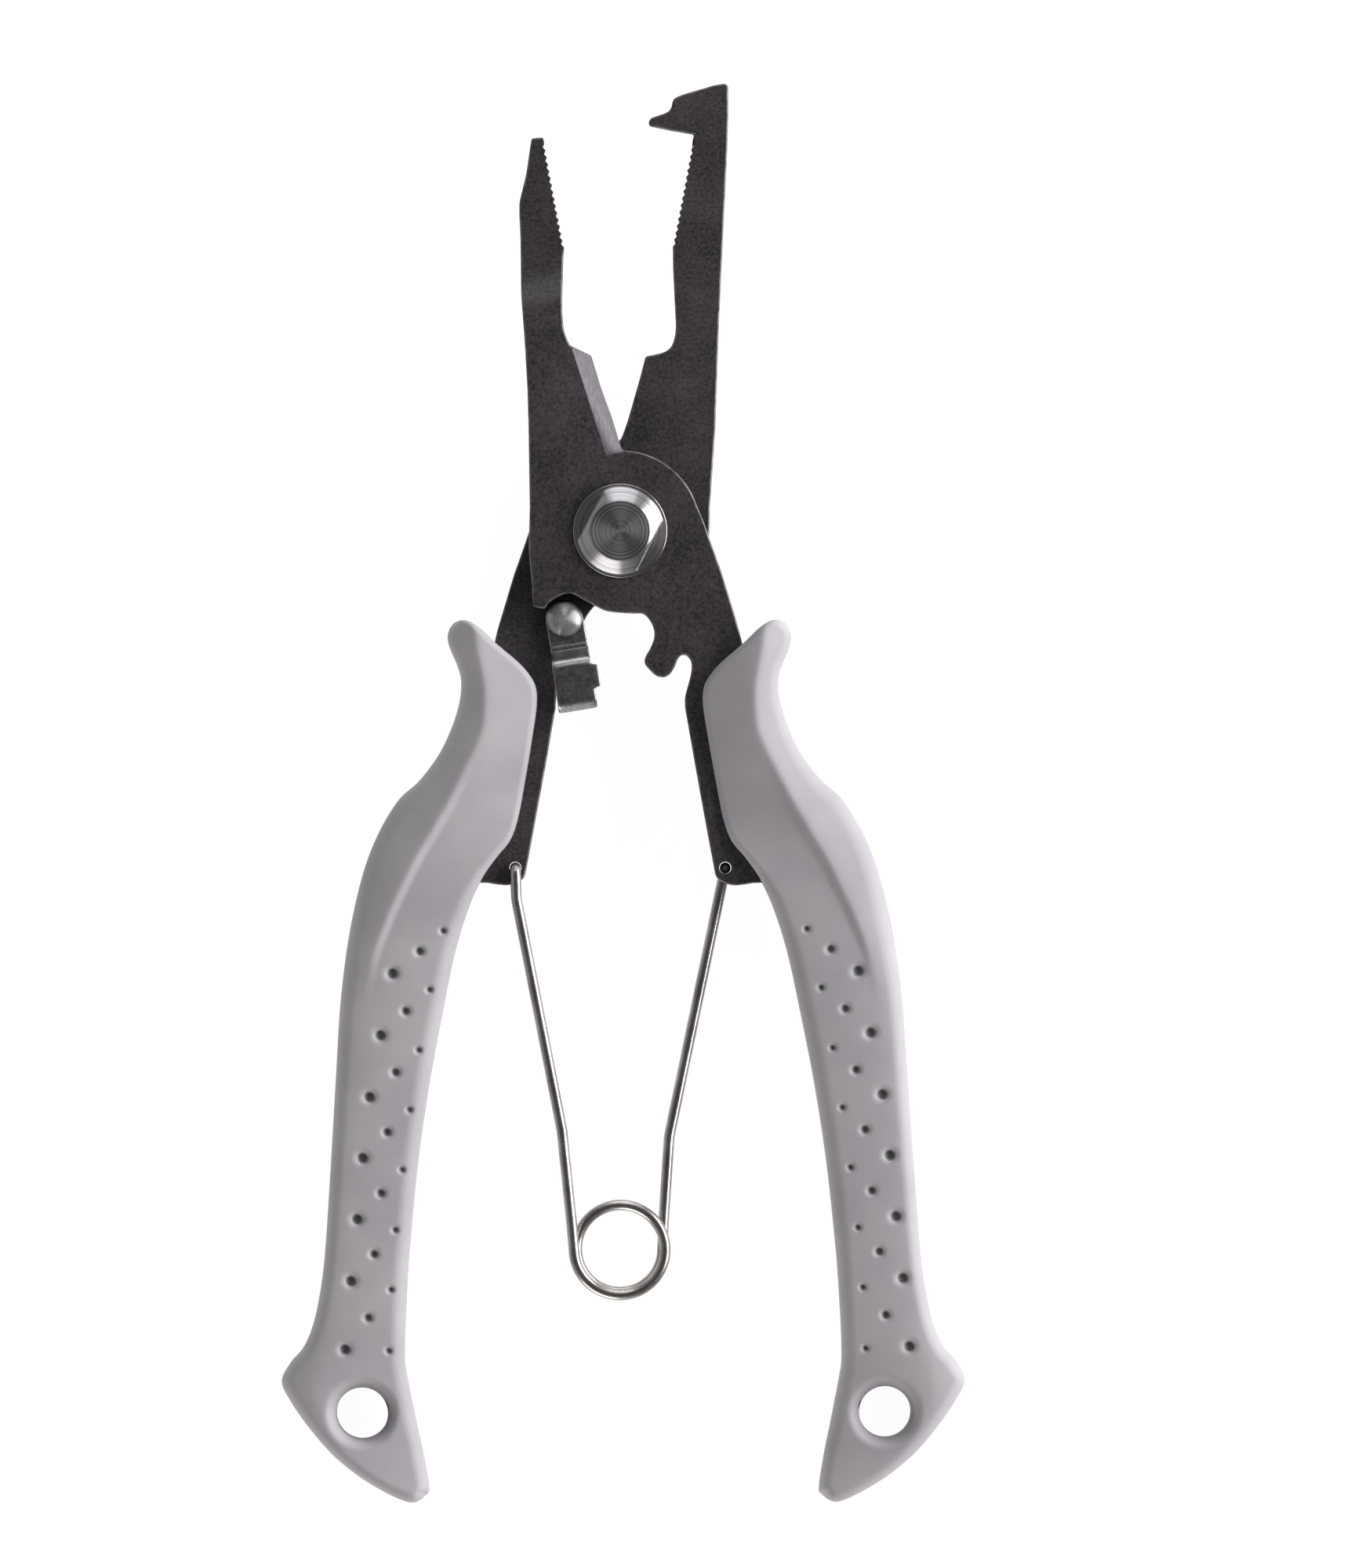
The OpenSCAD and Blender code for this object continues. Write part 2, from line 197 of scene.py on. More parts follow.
def shades(tree, amount, stops):
    """Colour ramp over amount, from pairs of place and sRGB code."""
    made = add(tree, "ShaderNodeValToRGB", {"Fac": amount})
    ramp = made.color_ramp
    while len(ramp.elements) < len(stops):
        ramp.elements.new(0.5)
    for element, (place, code) in zip(ramp.elements, stops):
        element.position, element.color = place, linear(code)
    return made.outputs["Color"]


def coated_steel():
    """Stainless steel plate with a baked black fluoropolymer coat over a blasted surface.

    The coat is a satin dielectric; blasting leaves a grain of about 0.1 mm, drawn 0.35 mm
    wide so that it shows, and the sprayed coat pools in faint clouds a few mm across."""
    made, tree, skin, mm = finish("black_coated_stainless", Roughness=0.42)
    grain = add(tree, "ShaderNodeTexNoise", {"Vector": mm, "Scale": 1 / 0.35, "Detail": 2.0})
    cloud = add(tree, "ShaderNodeTexNoise", {"Vector": mm, "Scale": 1 / 6.0, "Detail": 3.0})
    both = add(tree, "ShaderNodeMath", {0: grain.outputs[0], 1: 0.7, 2: 0.0},
               operation="MULTIPLY_ADD")
    tree.links.new(add(tree, "ShaderNodeMath", {0: cloud.outputs[0], 1: 0.3},
                       operation="MULTIPLY").outputs[0], both.inputs[2])
    tree.links.new(shades(tree, both.outputs[0], [(0.32, "#141213"), (0.68, "#433c42")]),
                   skin.inputs["Base Color"])
    bump = add(tree, "ShaderNodeBump", {"Height": grain.outputs[0], "Strength": 0.35,
                                        "Distance": 0.02 * MM})
    tree.links.new(bump.outputs[0], skin.inputs["Normal"])
    rough = add(tree, "ShaderNodeMapRange", {"Value": cloud.outputs[0], "To Min": 0.36,
                                             "To Max": 0.5})
    tree.links.new(rough.outputs[0], skin.inputs["Roughness"])
    return made


def rubbed_edge():
    """The same coat where it is thin and polished by handling, along the rounded edges."""
    made, tree, skin, mm = finish("rubbed_coated_edge", Metallic=0.25, Roughness=0.36)
    wear = add(tree, "ShaderNodeTexNoise", {"Vector": mm, "Scale": 1 / 1.5, "Detail": 4.0})
    tree.links.new(shades(tree, wear.outputs[0], [(0.35, "#3c383c"), (0.7, "#6c676b")]),
                   skin.inputs["Base Color"])
    return made


def ground_steel():
    """Bare stainless cutting bevel, ground across its length.

    A 120 grit wheel leaves lines about 0.12 mm apart, drawn at 0.2 mm so that they show."""
    made, tree, skin, mm = finish("ground_stainless", Metallic=0.3, Roughness=0.6)
    lines = add(tree, "ShaderNodeMapping", {"Vector": mm, "Rotation": (0, 0, 1.4),
                                            "Scale": (1 / 0.2, 1 / 3.0, 1 / 0.2)})
    streak = add(tree, "ShaderNodeTexNoise", {"Vector": lines.outputs[0], "Scale": 1.0,
                                              "Detail": 3.0})
    tree.links.new(shades(tree, streak.outputs[0], [(0.3, "#4f4b50"), (0.7, "#6b666c")]),
                   skin.inputs["Base Color"])
    bump = add(tree, "ShaderNodeBump", {"Height": streak.outputs[0], "Strength": 0.3,
                                        "Distance": 0.02 * MM})
    tree.links.new(bump.outputs[0], skin.inputs["Normal"])
    return made


def turned_steel(name, centre, pitch, light, dark, rough, metal=1.0):
    """Stainless steel turned on a lathe: fine rings about the axis through centre.

    The tool's feed leaves rings 0.05 to 0.1 mm apart, drawn pitch mm apart so that they
    show; their slopes spread a highlight away from the axis into a bow. metal is less
    than 1 where tumbling has left the surface matt."""
    made, tree, skin, mm = finish(name, Metallic=metal, Roughness=rough, Anisotropic=0.8)
    axis = add(tree, "ShaderNodeVectorMath", {0: mm, 1: (*centre[:2], 0)}, operation="SUBTRACT")
    flat = add(tree, "ShaderNodeVectorMath", {0: axis.outputs[0], 1: (1, 1, 0)},
               operation="MULTIPLY")
    radius = add(tree, "ShaderNodeVectorMath", {0: flat.outputs[0]}, operation="LENGTH")
    tree.links.new(flat.outputs[0], skin.inputs["Tangent"])
    rings = add(tree, "ShaderNodeTexNoise", {"W": radius.outputs["Value"], "Scale": 1 / pitch,
                                             "Detail": 2.0}, noise_dimensions="1D")
    tree.links.new(shades(tree, rings.outputs[0], [(0.3, dark), (0.7, light)]),
                   skin.inputs["Base Color"])
    bump = add(tree, "ShaderNodeBump", {"Height": rings.outputs[0], "Strength": 0.6,
                                        "Distance": 0.02 * MM})
    tree.links.new(bump.outputs[0], skin.inputs["Normal"])
    return made


def sheet_steel():
    """Pressed stainless strip, tumbled after forming, so soft edges and a fine cloudy grain."""
    made, tree, skin, mm = finish("tumbled_stainless_strip", Metallic=1.0, Roughness=0.3)
    grain = add(tree, "ShaderNodeTexNoise", {"Vector": mm, "Scale": 1 / 0.45, "Detail": 2.0})
    tree.links.new(shades(tree, grain.outputs[0], [(0.3, "#7f7e81"), (0.7, "#9b999c")]),
                   skin.inputs["Base Color"])
    rough = add(tree, "ShaderNodeMapRange", {"Value": grain.outputs[0], "To Min": 0.26,
                                             "To Max": 0.4})
    tree.links.new(rough.outputs[0], skin.inputs["Roughness"])
    bump = add(tree, "ShaderNodeBump", {"Height": grain.outputs[0], "Strength": 0.15,
                                        "Distance": 0.02 * MM})
    tree.links.new(bump.outputs[0], skin.inputs["Normal"])
    return made


def spring_steel():
    """Cold drawn stainless spring wire: bright, with faint draw lines and warm heat tint."""
    made, tree, skin, mm = finish("drawn_stainless_wire", Metallic=1.0, Roughness=0.26)
    tint = add(tree, "ShaderNodeTexNoise", {"Vector": mm, "Scale": 1 / 4.0, "Detail": 3.0})
    tree.links.new(shades(tree, tint.outputs[0], [(0.3, "#8f8a87"), (0.7, "#b9b5b3")]),
                   skin.inputs["Base Color"])
    grain = add(tree, "ShaderNodeTexNoise", {"Vector": mm, "Scale": 1 / 0.6, "Detail": 2.0})
    rough = add(tree, "ShaderNodeMapRange", {"Value": grain.outputs[0], "To Min": 0.24,
                                             "To Max": 0.32})
    tree.links.new(rough.outputs[0], skin.inputs["Roughness"])
    return made


def grip_elastomer():
    """Thermoplastic elastomer moulded in a spark-eroded tool: matt, warm light grey.

    The tool's grain is about 0.1 mm, drawn at 0.2 mm; the colour drifts a little over a few
    mm, and the cores of the pits are painted darker: painted shade for the shadow inside them."""
    made, tree, skin, mm = finish("moulded_grey_elastomer", Roughness=0.6)
    drift = add(tree, "ShaderNodeTexNoise", {"Vector": mm, "Scale": 1 / 9.0, "Detail": 4.0})
    grain = add(tree, "ShaderNodeTexNoise", {"Vector": mm, "Scale": 1 / 0.2, "Detail": 2.0})
    body = shades(tree, drift.outputs[0], [(0.35, "#98949a"), (0.65, "#a19da2")])
    pit = add(tree, "ShaderNodeAttribute", attribute_name="pit")
    # painted shade: the pit attribute darkens the colour towards #777378 in the pits' cores,
    # where shadow falls
    pit_painted_shade = add(tree, "ShaderNodeMix", {"Factor": pit.outputs["Fac"], "A": body,
                                      "B": linear("#777378")}, data_type="RGBA")
    tree.links.new(pit_painted_shade.outputs[2], skin.inputs["Base Color"])
    rough = add(tree, "ShaderNodeMapRange", {"Value": drift.outputs[0], "To Min": 0.54,
                                             "To Max": 0.68})
    tree.links.new(rough.outputs[0], skin.inputs["Roughness"])
    bump = add(tree, "ShaderNodeBump", {"Height": grain.outputs[0], "Strength": 0.3,
                                        "Distance": 0.015 * MM})
    tree.links.new(bump.outputs[0], skin.inputs["Normal"])
    return made


# ---------------------------------------------------------------- arms and turned parts
ROUNDED, BEND_R = 0.24, 1.3      # radius along an arm's outline, and of its joggle's bends
EYE, EYE_R = (5.14, -44.75), 1.2         # the spring's eye in an arm, with some room round it
TEETH = np.array([(-1.05, 36.5), (0.55, 51.1)])      # box round the teeth of both jaws
GROUND = (0.3, 0.88)             # slope of the cutting bevel, as its normal's upward share
BEND_TURN, EDGE_TURN, BEND_LONG = 12, 30, 3.5    # degrees where bends and edges begin; length


def softened(node, body, finishes, width, soft_edges, bends=None):
    """Copy of a CAD solid with its flat faces joined and its edges rounded.

    soft_edges(edge) says what share of width an edge is rounded by, and bends(edge) which
    edges are bends of the sheet, rounded to a wide curve first."""
    mesh = frame["nodes"][node].data.copy()
    mesh.materials.clear()
    work = bmesh.new()
    work.from_mesh(mesh)
    bmesh.ops.remove_doubles(work, verts=work.verts, dist=2e-6)
    bmesh.ops.dissolve_limit(work, angle_limit=math.radians(0.6), verts=work.verts,
                             edges=work.edges)
    if bends:
        bmesh.ops.bevel(work, geom=[e for e in work.edges if bends(e)], offset=BEND_R * MM,
                        offset_type="OFFSET", segments=6, profile=0.5, affect="EDGES",
                        clamp_overlap=False)
    share = work.edges.layers.float.new("bevel_weight_edge")
    for edge in work.edges:
        edge[share] = soft_edges(edge) if len(edge.link_faces) == 2 else 0
    work.to_mesh(mesh)
    work.free()
    made = shaped(node + "_shape", mesh, body, finishes, [node], 180, 1e-7)
    bevel = made.modifiers.new("rounded", "BEVEL")
    bevel.width, bevel.segments = width * MM, 2
    bevel.limit_method, bevel.use_clamp_overlap = "WEIGHT", False
    bevel.material = 1 if len(finishes) > 1 else -1
    flat = made.modifiers.new("flat_faces_stay_flat", "WEIGHTED_NORMAL")
    flat.mode, flat.weight, flat.keep_sharp = "FACE_AREA", 50, False
    return made


def arm_edge(arm):
    """Rule for an arm's edges: a small round along the outline, hardly any on the teeth, and
    none on the cutting bevel and round the spring's eye."""
    def rule(edge):
        if math.degrees(edge.calc_face_angle(0)) < EDGE_TURN:
            return 0
        centre = (edge.verts[0].co + edge.verts[1].co) / 2
        spot = turned(np.array(centre) / MM - PIVOT, -arm * HALF_OPEN)[:2]
        if math.hypot(abs(spot[0]) - EYE[0], spot[1] - EYE[1]) < EYE_R:
            return 0
        if np.all((spot > TEETH[0]) & (spot < TEETH[1])):
            return 0.25
        return 0 if any(GROUND[0] < abs(f.normal.z) < GROUND[1] for f in edge.link_faces) else 1
    return rule


def joggle_edge(edge):
    """Whether an edge is a bend of the joggle, by how far it turns and by its length."""
    return (BEND_TURN < math.degrees(edge.calc_face_angle(0)) < EDGE_TURN
            and edge.calc_length() > BEND_LONG * MM)


def arm(node, body, side, finishes):
    """An arm: the outline is rounded, and the slanted cutting face is bare ground steel."""
    made = softened(node, body, finishes, ROUNDED, arm_edge(side), joggle_edge)
    slope = np.zeros(len(made.data.polygons) * 3)
    made.data.polygons.foreach_get("normal", slope)
    slope = np.abs(slope[2::3])
    bare = (slope > GROUND[0]) & (slope < GROUND[1])
    made.data.polygons.foreach_set("material_index", np.where(bare, 2, 0).astype(np.int32))


# ---------------------------------------------------------------- moulded grips
# Matching places on the inner and the outer edge of a right-hand grip, tail to horn
TAIL, HORN = (2.3, -125.5), (18.5, -15.45)
RIBS = np.array([
    (2.2, -124.4, 4.3, -126.8), (3.6, -120.4, 9.5, -125.4), (5.0, -117.0, 14.5, -122.9),
    (6.2, -114.0, 18.6, -119.7), (7.15, -111.6, 21.6, -116.7), (7.9, -109.5, 23.05, -114.5),
    (8.35, -107.2, 22.35, -112.0), (8.75, -104.6, 21.05, -109.7), (9.1, -102, 20.35, -106.4),
    (9.6, -98, 20.25, -101.5), (10, -94, 20.65, -96), (10.8, -84, 21.85, -85.5),
    (11.15, -74, 23.1, -75), (11.1, -65, 24.2, -65.5), (10.9, -57, 24.62, -57),
    (10.2, -51, 24.3, -49.3), (9.2, -47, 23.3, -43.8), (7.8, -43.9, 21.5, -39.0),
    (6.5, -41.5, 19.4, -36.2), (6.0, -38.5, 17.8, -33.2), (5.95, -34, 16.9, -30.7),
    (6.0, -29, 16.2, -27.5), (6.15, -24, 16.0, -24.7), (6.7, -21.6, 16.25, -22.6),
    (7.9, -20.1, 16.8, -21.2), (9.6, -18.8, 17.4, -20.2), (12.9, -16.9, 18.15, -19.1),
    (15.2, -15.4, 18.75, -18.0), (17.0, -14.8, 18.95, -16.9)])
# Line where the inner and the outer facet of the grip meet, and its riser below y -34
CREST = np.array([
    (15.9, -15), (15, -18), (14.2, -20), (13.2, -22.8), (12.7, -25.5), (12.5, -28),
    (12.95, -30.5), (13.85, -33.5), (15.2, -38), (15.95, -40), (16.85, -42.5), (17.85, -45),
    (18.65, -47.5), (19.35, -50), (20.05, -52.5), (20.6, -55), (21.1, -57.5), (21.35, -60),
    (21.5, -65), (21.7, -70), (21.2, -80), (20.2, -90), (19.2, -100), (18.6, -108),
    (19.0, -114), (17.5, -118), (12, -124), (6, -128)])
# Numbers along the grip: y, slope of the inner and the outer facet in degrees, height of the
# riser, radius and depth of the inner edge's rounding, and of the outer edge's
ALONG = np.array([
    (-128, 12, 9, 0, 1.6, 1.5, 1.5, 1.5), (-120, 11, 10, 0, 1.8, 1.7, 1.5, 1.6),
    (-114, 7, 11, 0, 1.9, 1.8, 1.6, 1.6), (-106, 3, 10, 0, 2.0, 1.8, 1.7, 1.6),
    (-80, 2.5, 9, 0, 2.1, 1.8, 1.9, 1.6), (-66, 2, 10, 0, 2.1, 1.8, 2.0, 1.5),
    (-62, 1.5, 12, 0.1, 2.1, 1.8, 2.1, 1.5), (-56, 1.5, 16, 0.45, 2.0, 1.8, 2.2, 1.4),
    (-50, 3, 18, 0.5, 1.8, 1.6, 2.3, 1.3), (-45, 6, 20, 0.5, 1.1, 1.1, 2.2, 1.2),
    (-40, 12, 23, 0.4, 0.8, 0.8, 2.0, 1.1), (-36, 17, 25, 0.2, 0.8, 0.8, 1.8, 1.0),
    (-32, 19, 26, 0, 0.8, 0.8, 1.5, 1.0), (-22, 19, 27, 0, 0.8, 0.8, 1.2, 0.9),
    (-14, 18, 28, 0, 0.8, 0.8, 1.0, 0.8)])
# Pits in rows of small, medium and large: x and y of each
PITS = np.array([
    (13.9, -54.3, 16.4, -57.4, 19.3, -60.8), (14.3, -62.0, 16.8, -65.2, 19.4, -68.8),
    (14.3, -69.8, 16.7, -73.1, 19.4, -76.8), (14.1, -77.5, 16.4, -80.8, 18.9, -84.6),
    (13.7, -85.2, 15.8, -88.6, 18.2, -92.4), (13.2, -92.9, 15.3, -96.4, 17.6, -100.3),
    (12.4, -100.5, 14.6, -104.5, 16.8, -109.0)])
LAST_PIT = (11.3, -108.2)
PIT_DISH, PIT_CORE, PIT_DEEP = (0.8, 1.1, 1.45), (0.34, 0.48, 0.64), (0.3, 0.42, 0.55)
PIT_SLOPE = 0.45             # how wide the side of a pit's core is
DISH_DEEP = 0.3
LANYARD, LANYARD_R, RIM, RIM_DEEP = np.array([12.2, -116.7]), 3.3, 1.6, 2.6
CREST_TOP = GRIP_TOP / 2
CREST_EASE, RISER_WIDE = 0.35, 1.3       # how round the crest is, and how wide its riser
CROWN, CROWN_Y, CROWN_FADE = 60.0, -48, 8    # radius across the lower grip, where it starts
FLASH, FLASH_HALF = 0.07, 0.16   # how far the mould's parting line stands out, half its width
LEFT_LEAN, LEFT_HINGE = 0.6, (-10, -35)      # the left grip is set this far inwards, degrees
ROWS, COLS = 600, 74


def rib_grid():
    """Grid over a grip from its inner to its outer edge, as rows of points, and its two edges.

    Each edge is a smooth curve round the outline; row by row they are joined by straight
    ribs. Rows are spaced evenly along the middle, closer where the pits are, and columns
    bunch up towards the edges as a cosine does."""
    inner = np.vstack([RIBS[0, 2:], TAIL, RIBS[:, :2], HORN, RIBS[-1, 2:]])
    outer = np.vstack([RIBS[0, :2], TAIL, RIBS[:, 2:], HORN, RIBS[-1, :2]])
    fine = np.linspace(0, len(RIBS) + 1, 4000)
    centre = (through(inner, fine) + through(outer, fine)) / 2
    run = np.linalg.norm(np.diff(centre, axis=0), axis=1)
    y = centre[1:, 1]
    run *= 1 + 0.5 * step((y + 112) / 4) * step((-50 - y) / 4)
    t = np.interp(np.linspace(0, 1, ROWS), np.append(0, np.cumsum(run)) / run.sum(), fine)
    a, b = through(inner, t), through(outer, t)
    even = np.linspace(0, 1, COLS)
    v = (0.4 * even + 0.6 * (0.5 - 0.5 * np.cos(np.pi * even)))[None, :, None]
    return a[:, None] * (1 - v) + b[:, None] * v, a, b


def edge_distance(points, edge, reach=28):
    """Distance from each point of each row to the nearest stretch of an edge, in mm."""
    near = np.clip(np.arange(ROWS)[:, None] + np.arange(-reach, reach + 1), 0, ROWS - 2)
    a = edge[near][:, None]
    along = edge[near + 1][:, None] - a
    away = points[:, :, None] - a
    share = np.clip((away * along).sum(-1) / np.maximum((along**2).sum(-1), 1e-9), 0, 1)
    return np.linalg.norm(away - share[..., None] * along, axis=-1).min(-1)


def quarter_drop(distance, radius, depth):
    """How far an edge rounded as a quarter of an ellipse has dropped at a distance inside it."""
    lean = 1 - np.clip(distance / radius, 0, 1)
    return depth * (1 - np.sqrt(np.maximum(1 - lean**2, 0)))


def grip_height(spots, d_in, d_out, pit_shift):
    """Height of a grip's face over the middle plane, and how far into a pit each point is.

    Two facets slope down from a crest line, as a hyperbola so that the crest is slightly
    round; a riser steps down on its inner side; both outer edges and the lanyard hole's rim
    drop as quarter ellipses; a pit is a shallow dish with a steep core."""
    x, y = spots[..., 0], spots[..., 1]
    line = through(extended(CREST), np.linspace(0, len(CREST) - 1, 400))[::-1]
    aim = np.arctan(np.gradient(line[:, 0], line[:, 1]))
    across = (x - np.interp(y, line[:, 1], line[:, 0])) * np.cos(np.interp(y, line[:, 1], aim))
    inner, outer, riser, r_in, deep_in, r_out, deep_out = (
        np.interp(y, ALONG[:, 0], column) for column in ALONG[:, 1:].T)
    up, down = np.tan(np.radians(inner)), np.tan(np.radians(outer))
    fall = ((down - up) * across + np.sqrt(((down + up) * across) ** 2 + CREST_EASE**2)) / 2
    fall -= CREST_EASE * np.sqrt(down * up) / (down + up)    # so that the crest is at zero
    height = CREST_TOP - fall - riser * step(-across / RISER_WIDE)
    height -= quarter_drop(d_in, r_in, deep_in) + quarter_drop(d_out, r_out, deep_out)
    height -= quarter_drop(np.hypot(*(spots - LANYARD).T).T - LANYARD_R, RIM, RIM_DEEP)
    height -= ((d_in - d_out) / 2) ** 2 / CROWN / 2 * step((CROWN_Y - y) / CROWN_FADE)
    depth = np.zeros_like(x)
    for size in range(3):
        at = PITS[:, 2 * size:2 * size + 2]
        at = np.vstack([at, LAST_PIT]) if size == 0 else at
        r = np.hypot(x[..., None] - at[:, 0] + pit_shift, y[..., None] - at[:, 1]).min(-1)
        height -= DISH_DEEP * (1 - np.clip(r / PIT_DISH[size], 0, 1) ** 2) ** 2
        core = step((PIT_CORE[size] + 0.2 - r) / PIT_SLOPE)
        height -= PIT_DEEP[size] * core
        depth = np.maximum(depth, core)
    return height, depth


def grip(name, node, body, side, finishes, pit_shift):
    """A grip: upper face, its mirror image below, and walls round the outline and the bore.

    The outline's wall has a fine flash line where the two halves of the mould meet."""
    spots, a, b = rib_grid()
    height, depth = grip_height(spots, edge_distance(spots, a), edge_distance(spots, b),
                                pit_shift)
    aim = (b - a) / np.maximum(np.linalg.norm(b - a, axis=1), 1e-6)[:, None]
    spots[:, 0] += FLASH * aim
    spots[:, -1] -= FLASH * aim
    faces = grid_faces(ROWS, COLS)
    flat = spots.reshape(-1, 2)
    hub = flat[faces].mean(1) - LANYARD
    faces = faces[np.hypot(*hub.T) > LANYARD_R]
    sides = np.stack([faces, np.roll(faces, -1, axis=1)], axis=-1).reshape(-1, 2)
    _, back, count = np.unique(np.sort(sides, axis=1), axis=0, return_inverse=True,
                               return_counts=True)
    lone = sides[count[back.ravel()] == 1]
    lone = lone[np.hypot(*(flat[lone[:, 0]] - LANYARD).T) < LANYARD_R + 1]
    off = flat[lone.ravel()] - LANYARD
    flat[lone.ravel()] = LANYARD + off / np.hypot(*off.T)[:, None] * LANYARD_R
    height.reshape(-1)[lone.ravel()] = CREST_TOP - RIM_DEEP
    upper = np.column_stack([flat, height.ravel()])
    lower = upper * (1, 1, -1)
    n = len(upper)
    bore = np.column_stack([lone[:, 1], lone[:, 0], lone[:, 0] + n, lone[:, 1] + n])
    # the wall: rings of points from the upper rim to the lower one
    rim = np.concatenate([np.arange(ROWS) * COLS,
                          (np.arange(1, ROWS - 1) * COLS + COLS - 1)[::-1]])
    edge = np.vstack([a, b[-2:0:-1]])
    wall_xy, wall_top = upper[rim, :2], height.ravel()[rim]
    ring = np.array([upper[rim], *(np.column_stack([e, h]) for e, h in (
        (wall_xy, wall_top * 0.5), (wall_xy, np.full(len(rim), FLASH_HALF)),
        (edge, np.zeros(len(rim))), (wall_xy, np.full(len(rim), -FLASH_HALF)),
        (wall_xy, wall_top * -0.5))), lower[rim]])
    wall = grid_faces(len(ring), len(rim), ring=True) + 2 * n
    points = np.vstack([upper, lower, ring.reshape(-1, 3)])
    if side == REAR:         # the left grip is the right one's mirror image
        points = turned(points * (-1, 1, 1), LEFT_LEAN, LEFT_HINGE)
    # the pit values are the mask for the painted shade in the pits' cores; the wall gets none
    values = {"pit": np.concatenate([depth.ravel()] * 2 + [np.zeros(ring.shape[0] * len(rim))])}
    piece(name, swung(points, side), np.vstack([faces, faces[:, ::-1] + n, bore, wall]),
          body, finishes, [node], values)


# ---------------------------------------------------------------- latch
STRIP_HALF, STRIP_EYE_R, STRIP_LONG = 0.6, 2.4, 11.2     # half thickness, eye, rivet to end
TAB, TAB_OUT, TAB_EASE = (6.1, 9.4), 0.85, 0.35  # from and to, how far out, how soft its ends
PARKED, EYE_AT = -70, (-4.9, -12.4, 0)           # the strip's heading, and its rivet's place


def rounded_path(corners, radii, spacing):
    """Points along straight runs between corners, each corner rounded to its radius.

    A corner becomes an arc that touches both runs; the arc is sampled by angle, the runs
    by spacing in mm."""
    corners = np.asarray(corners, float)
    out = [corners[:1]]
    for a, b, c, r in zip(corners, corners[1:], corners[2:], radii):
        u, v = (a - b) / np.linalg.norm(a - b), (c - b) / np.linalg.norm(c - b)
        half = math.acos(np.clip(u @ v, -1, 1)) / 2
        way = (u + v) / np.linalg.norm(u + v)
        centre = b + way * r / math.sin(half)
        first, last = b + u * r / math.tan(half), b + v * r / math.tan(half)
        f = np.linspace(0, 1, 12)[:, None]
        turn = math.pi - 2 * half
        e0, e1 = (first - centre) / r, (last - centre) / r
        arc = centre + r * (np.sin((1 - f) * turn) * e0 + np.sin(f * turn) * e1) / math.sin(turn)
        out.append(arc)
    out.append(corners[-1:])
    rough = np.vstack(out)
    run = np.append(0, np.cumsum(np.linalg.norm(np.diff(rough, axis=0), axis=1)))
    even = np.union1d(np.arange(0, run[-1], spacing), run)
    return np.column_stack([np.interp(even, run, rough[:, k]) for k in range(rough.shape[1])])


def latch(finishes):
    """The latch: a strip's middle line, seen from its side, thickened both ways.

    The line starts beyond the rivet, runs level, steps up, runs on and turns down as a
    flange; it also dips by a shallow dimple before the step. A half circle round the rivet
    and then the half widths at each place give the strip's two sides. Its section is a
    superellipse, so the two faces are flat and the rim between them is rounded."""
    low, high = PLATE_FACE + 0.61, PLATE_BACK + 0.72
    line = rounded_path([(-STRIP_EYE_R, low), (4.35, low), (5.7, high), (10.65, high),
                         (STRIP_LONG, high - 0.55), (STRIP_LONG, 0.105)],
                        [0.8, 0.9, 0.62, 0.62], 0.07)
    way = np.gradient(line, axis=0)
    way /= np.linalg.norm(way, axis=1)[:, None]
    normal = np.column_stack([-way[:, 1], way[:, 0]])
    run = np.append(0, np.cumsum(np.linalg.norm(np.diff(line, axis=0), axis=1)))
    a = line[:, 0]
    eye = np.sqrt(np.clip(STRIP_EYE_R**2 - np.minimum(a, 0) ** 2, 0, None))
    left = np.where(a < 0, eye, np.interp(a, [0, 3.7, 5, STRIP_LONG], [2.4, 2.4, 2.5, 2.6]))
    right = np.where(a < 0, eye, np.interp(a, [0, 4, STRIP_LONG], [2.4, 2.45, 2.4]))
    right = right + TAB_OUT * step((a - TAB[0]) / TAB_EASE) * step((TAB[1] - a) / TAB_EASE)
    roll, square = 0.28, 0.22        # the ends thin down over roll; square sets the section
    # round the section: across the upper face, over the rim, back across the lower face
    t = np.linspace(0, 2 * np.pi, 64, endpoint=False)
    wide = np.sign(np.cos(t)) * np.abs(np.cos(t)) ** square
    thick = np.sign(np.sin(t)) * np.abs(np.sin(t)) ** square
    half = np.where(wide > 0, right[:, None], left[:, None])
    end = step(np.minimum(run, run[-1] - run)[:, None] / roll * 0.5 + 0.5)
    across = wide * np.maximum(half, 0.02)
    dimple = 0.1 * np.exp(-((a[:, None] - 3.1) / 0.3) ** 2)
    lift = thick * STRIP_HALF * end - dimple
    points = np.stack([a[:, None] + normal[:, :1] * lift, across,
                       line[:, 1:] + normal[:, 1:] * lift], axis=-1)
    rows, cols = points.shape[:2]
    caps = points[[0, -1]].mean(1, keepdims=True).repeat(cols, axis=1)
    points = np.concatenate([caps[:1], points, caps[1:]])
    points = turned(points.reshape(-1, 3), PARKED) + EYE_AT
    piece("latch_strip", swung(points, REAR), grid_faces(rows + 2, cols, ring=True),
          "latch", finishes, ["latch_lever"], sharp=40)


# ---------------------------------------------------------------- return spring
WIRE_R, WIRE_SIDES = 0.7, 24
COIL_FROM, COIL_TO = 185, 715            # degrees, so one and a half turns
COIL_R, COIL_IN, COIL_RISE = 5.9, 0.5, 1.05      # radius, how far it draws in, half its height


